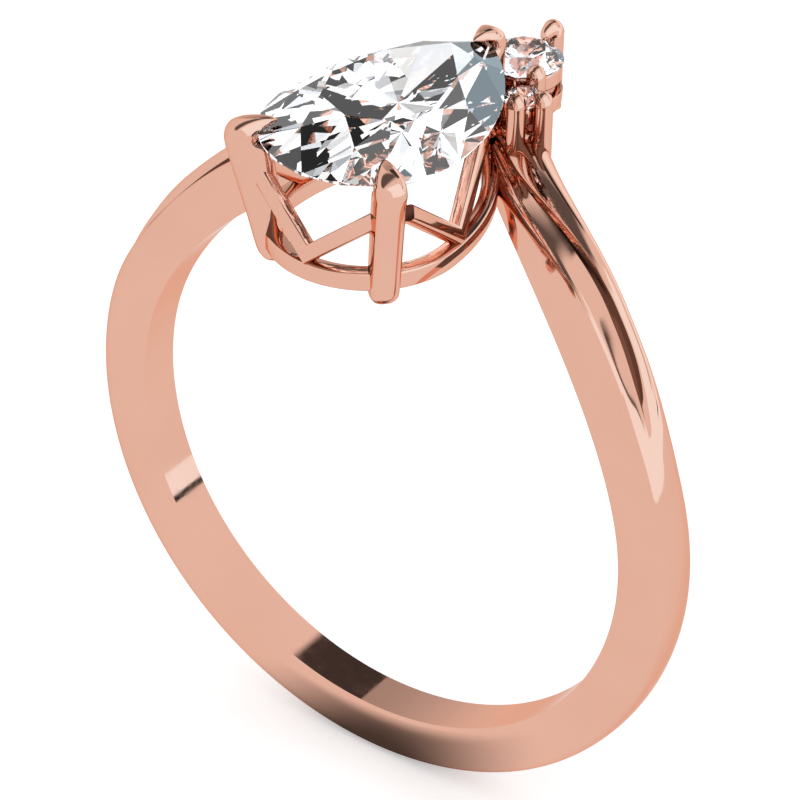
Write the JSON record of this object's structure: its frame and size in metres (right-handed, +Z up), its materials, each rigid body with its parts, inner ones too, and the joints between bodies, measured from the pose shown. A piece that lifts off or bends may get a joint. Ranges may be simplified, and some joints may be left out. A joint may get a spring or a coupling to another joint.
{
  "type": "engagement ring",
  "caption": "Rose-gold finger ring with a pear-shaped diamond in a claw head over a chevron shank, and a cluster of small claw-set diamonds behind the pear's tip",
  "frame": {"origin": "centre of the finger hole, on the ring's plane of symmetry", "axes": "+X across the finger to the wearer's right, +Y along the finger towards the pear's tip and the small stones, +Z up from the finger hole through the head"},
  "size_m": [0.0208, 0.0128, 0.0235],
  "materials": {
    "rose_gold": "polished",
    "diamond": "polished"
  },
  "bodies": {
    "root": {"shank": "rose_gold", "base_rail": "rose_gold", "prong_left": "rose_gold", "prong_right": "rose_gold", "prong_tip": "rose_gold", "gallery_wire_front": "rose_gold", "gallery_wire_left": "rose_gold", "gallery_wire_right": "rose_gold", "accent_collar_back": "rose_gold", "accent_collar_left": "rose_gold", "accent_collar_right": "rose_gold", "accent_base_back": "rose_gold", "accent_base_left": "rose_gold", "accent_base_right": "rose_gold", "accent_prong_back": "rose_gold", "accent_prong_inner_left": "rose_gold", "accent_prong_inner_right": "rose_gold", "accent_prong_side_left": "rose_gold", "accent_prong_side_right": "rose_gold", "accent_prong_front_left": "rose_gold", "accent_prong_front_right": "rose_gold", "pear_diamond": "diamond", "accent_diamond_back": "diamond", "accent_diamond_left": "diamond", "accent_diamond_right": "diamond"}
  },
  "joints": []
}
